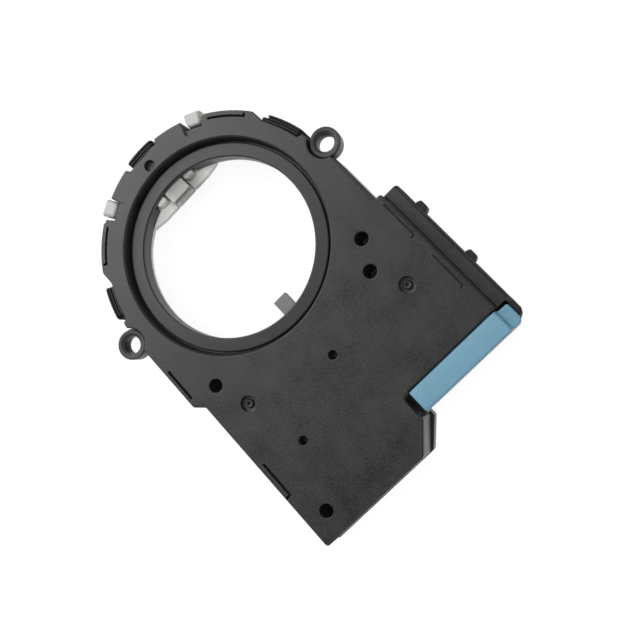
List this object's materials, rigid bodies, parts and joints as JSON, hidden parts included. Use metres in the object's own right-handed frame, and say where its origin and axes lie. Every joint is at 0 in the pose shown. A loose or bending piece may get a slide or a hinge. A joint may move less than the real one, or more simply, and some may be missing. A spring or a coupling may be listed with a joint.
{
  "type": "steering angle sensor",
  "caption": "Flat moulded sensor housing with a round bore, a gear-driven rotor ring with a white driver, screw lugs, snap loops and a light blue side connector",
  "frame": {"origin": "under the middle of the sensor's outline, on the plane of the rear tray's floor", "axes": "+X from the bore towards the connector end, +Z out of the front face along the bore's axis, +Y completes a right-handed frame and points to the side of the connector's ledge"},
  "size_m": [0.1028, 0.0778, 0.018],
  "materials": {
    "black_plastic": "fine moulded grain, dark grey-black",
    "rotor_plastic": "smooth moulded black",
    "white_plastic": "smooth off-white acetal",
    "blue_plastic": "satin light blue",
    "board": "green solder mask",
    "chip": "black moulded package",
    "capacitor": "fired ceramic",
    "magnet": "dark sintered magnet",
    "tinned_metal": "tin plated"
  },
  "bodies": {
    "case": {"front_housing": "black_plastic", "rear_cover": "black_plastic", "bearing_ring": "white_plastic", "gear_bearing_plate": "black_plastic", "circuit_board": "board", "sensor_chip_1": "chip", "sensor_chip_2": "chip", "microcontroller": "chip", "voltage_regulator": "chip", "capacitor_1": "capacitor", "capacitor_2": "capacitor", "capacitor_3": "capacitor", "capacitor_4": "capacitor", "connector_header": "blue_plastic", "connector_pin_1": "tinned_metal", "connector_pin_2": "tinned_metal", "connector_pin_3": "tinned_metal", "connector_pin_4": "tinned_metal", "connector_pin_5": "tinned_metal", "connector_pin_6": "tinned_metal", "connector_pin_7": "tinned_metal", "connector_pin_8": "tinned_metal"},
    "rotor": {"rotor_gear_ring": "rotor_plastic", "driver_ring": "white_plastic"},
    "gear_1": {"measuring_gear_1": "white_plastic", "magnet_1": "magnet"},
    "gear_2": {"measuring_gear_2": "white_plastic", "magnet_2": "magnet"}
  },
  "joints": [
    {"name": "rotor_spin", "type": "hinge", "parent": "case", "child": "rotor", "pos_m": [-0.01736, -0.00159, 0.0105], "axis": [0, 0, 1], "continuous": true},
    {"name": "gear_1_spin", "type": "hinge", "parent": "case", "child": "gear_1", "pos_m": [0.02012, -0.00028, 0.0105], "axis": [0, 0, 1], "continuous": true},
    {"name": "gear_2_spin", "type": "hinge", "parent": "case", "child": "gear_2", "pos_m": [0.02954, -0.0191, 0.0105], "axis": [0, 0, 1], "continuous": true}
  ],
  "couplings": [
    {"joint": "gear_1_spin", "follows": "rotor_spin", "ratio": -2.3438},
    {"joint": "gear_2_spin", "follows": "rotor_spin", "ratio": 2.6786}
  ]
}
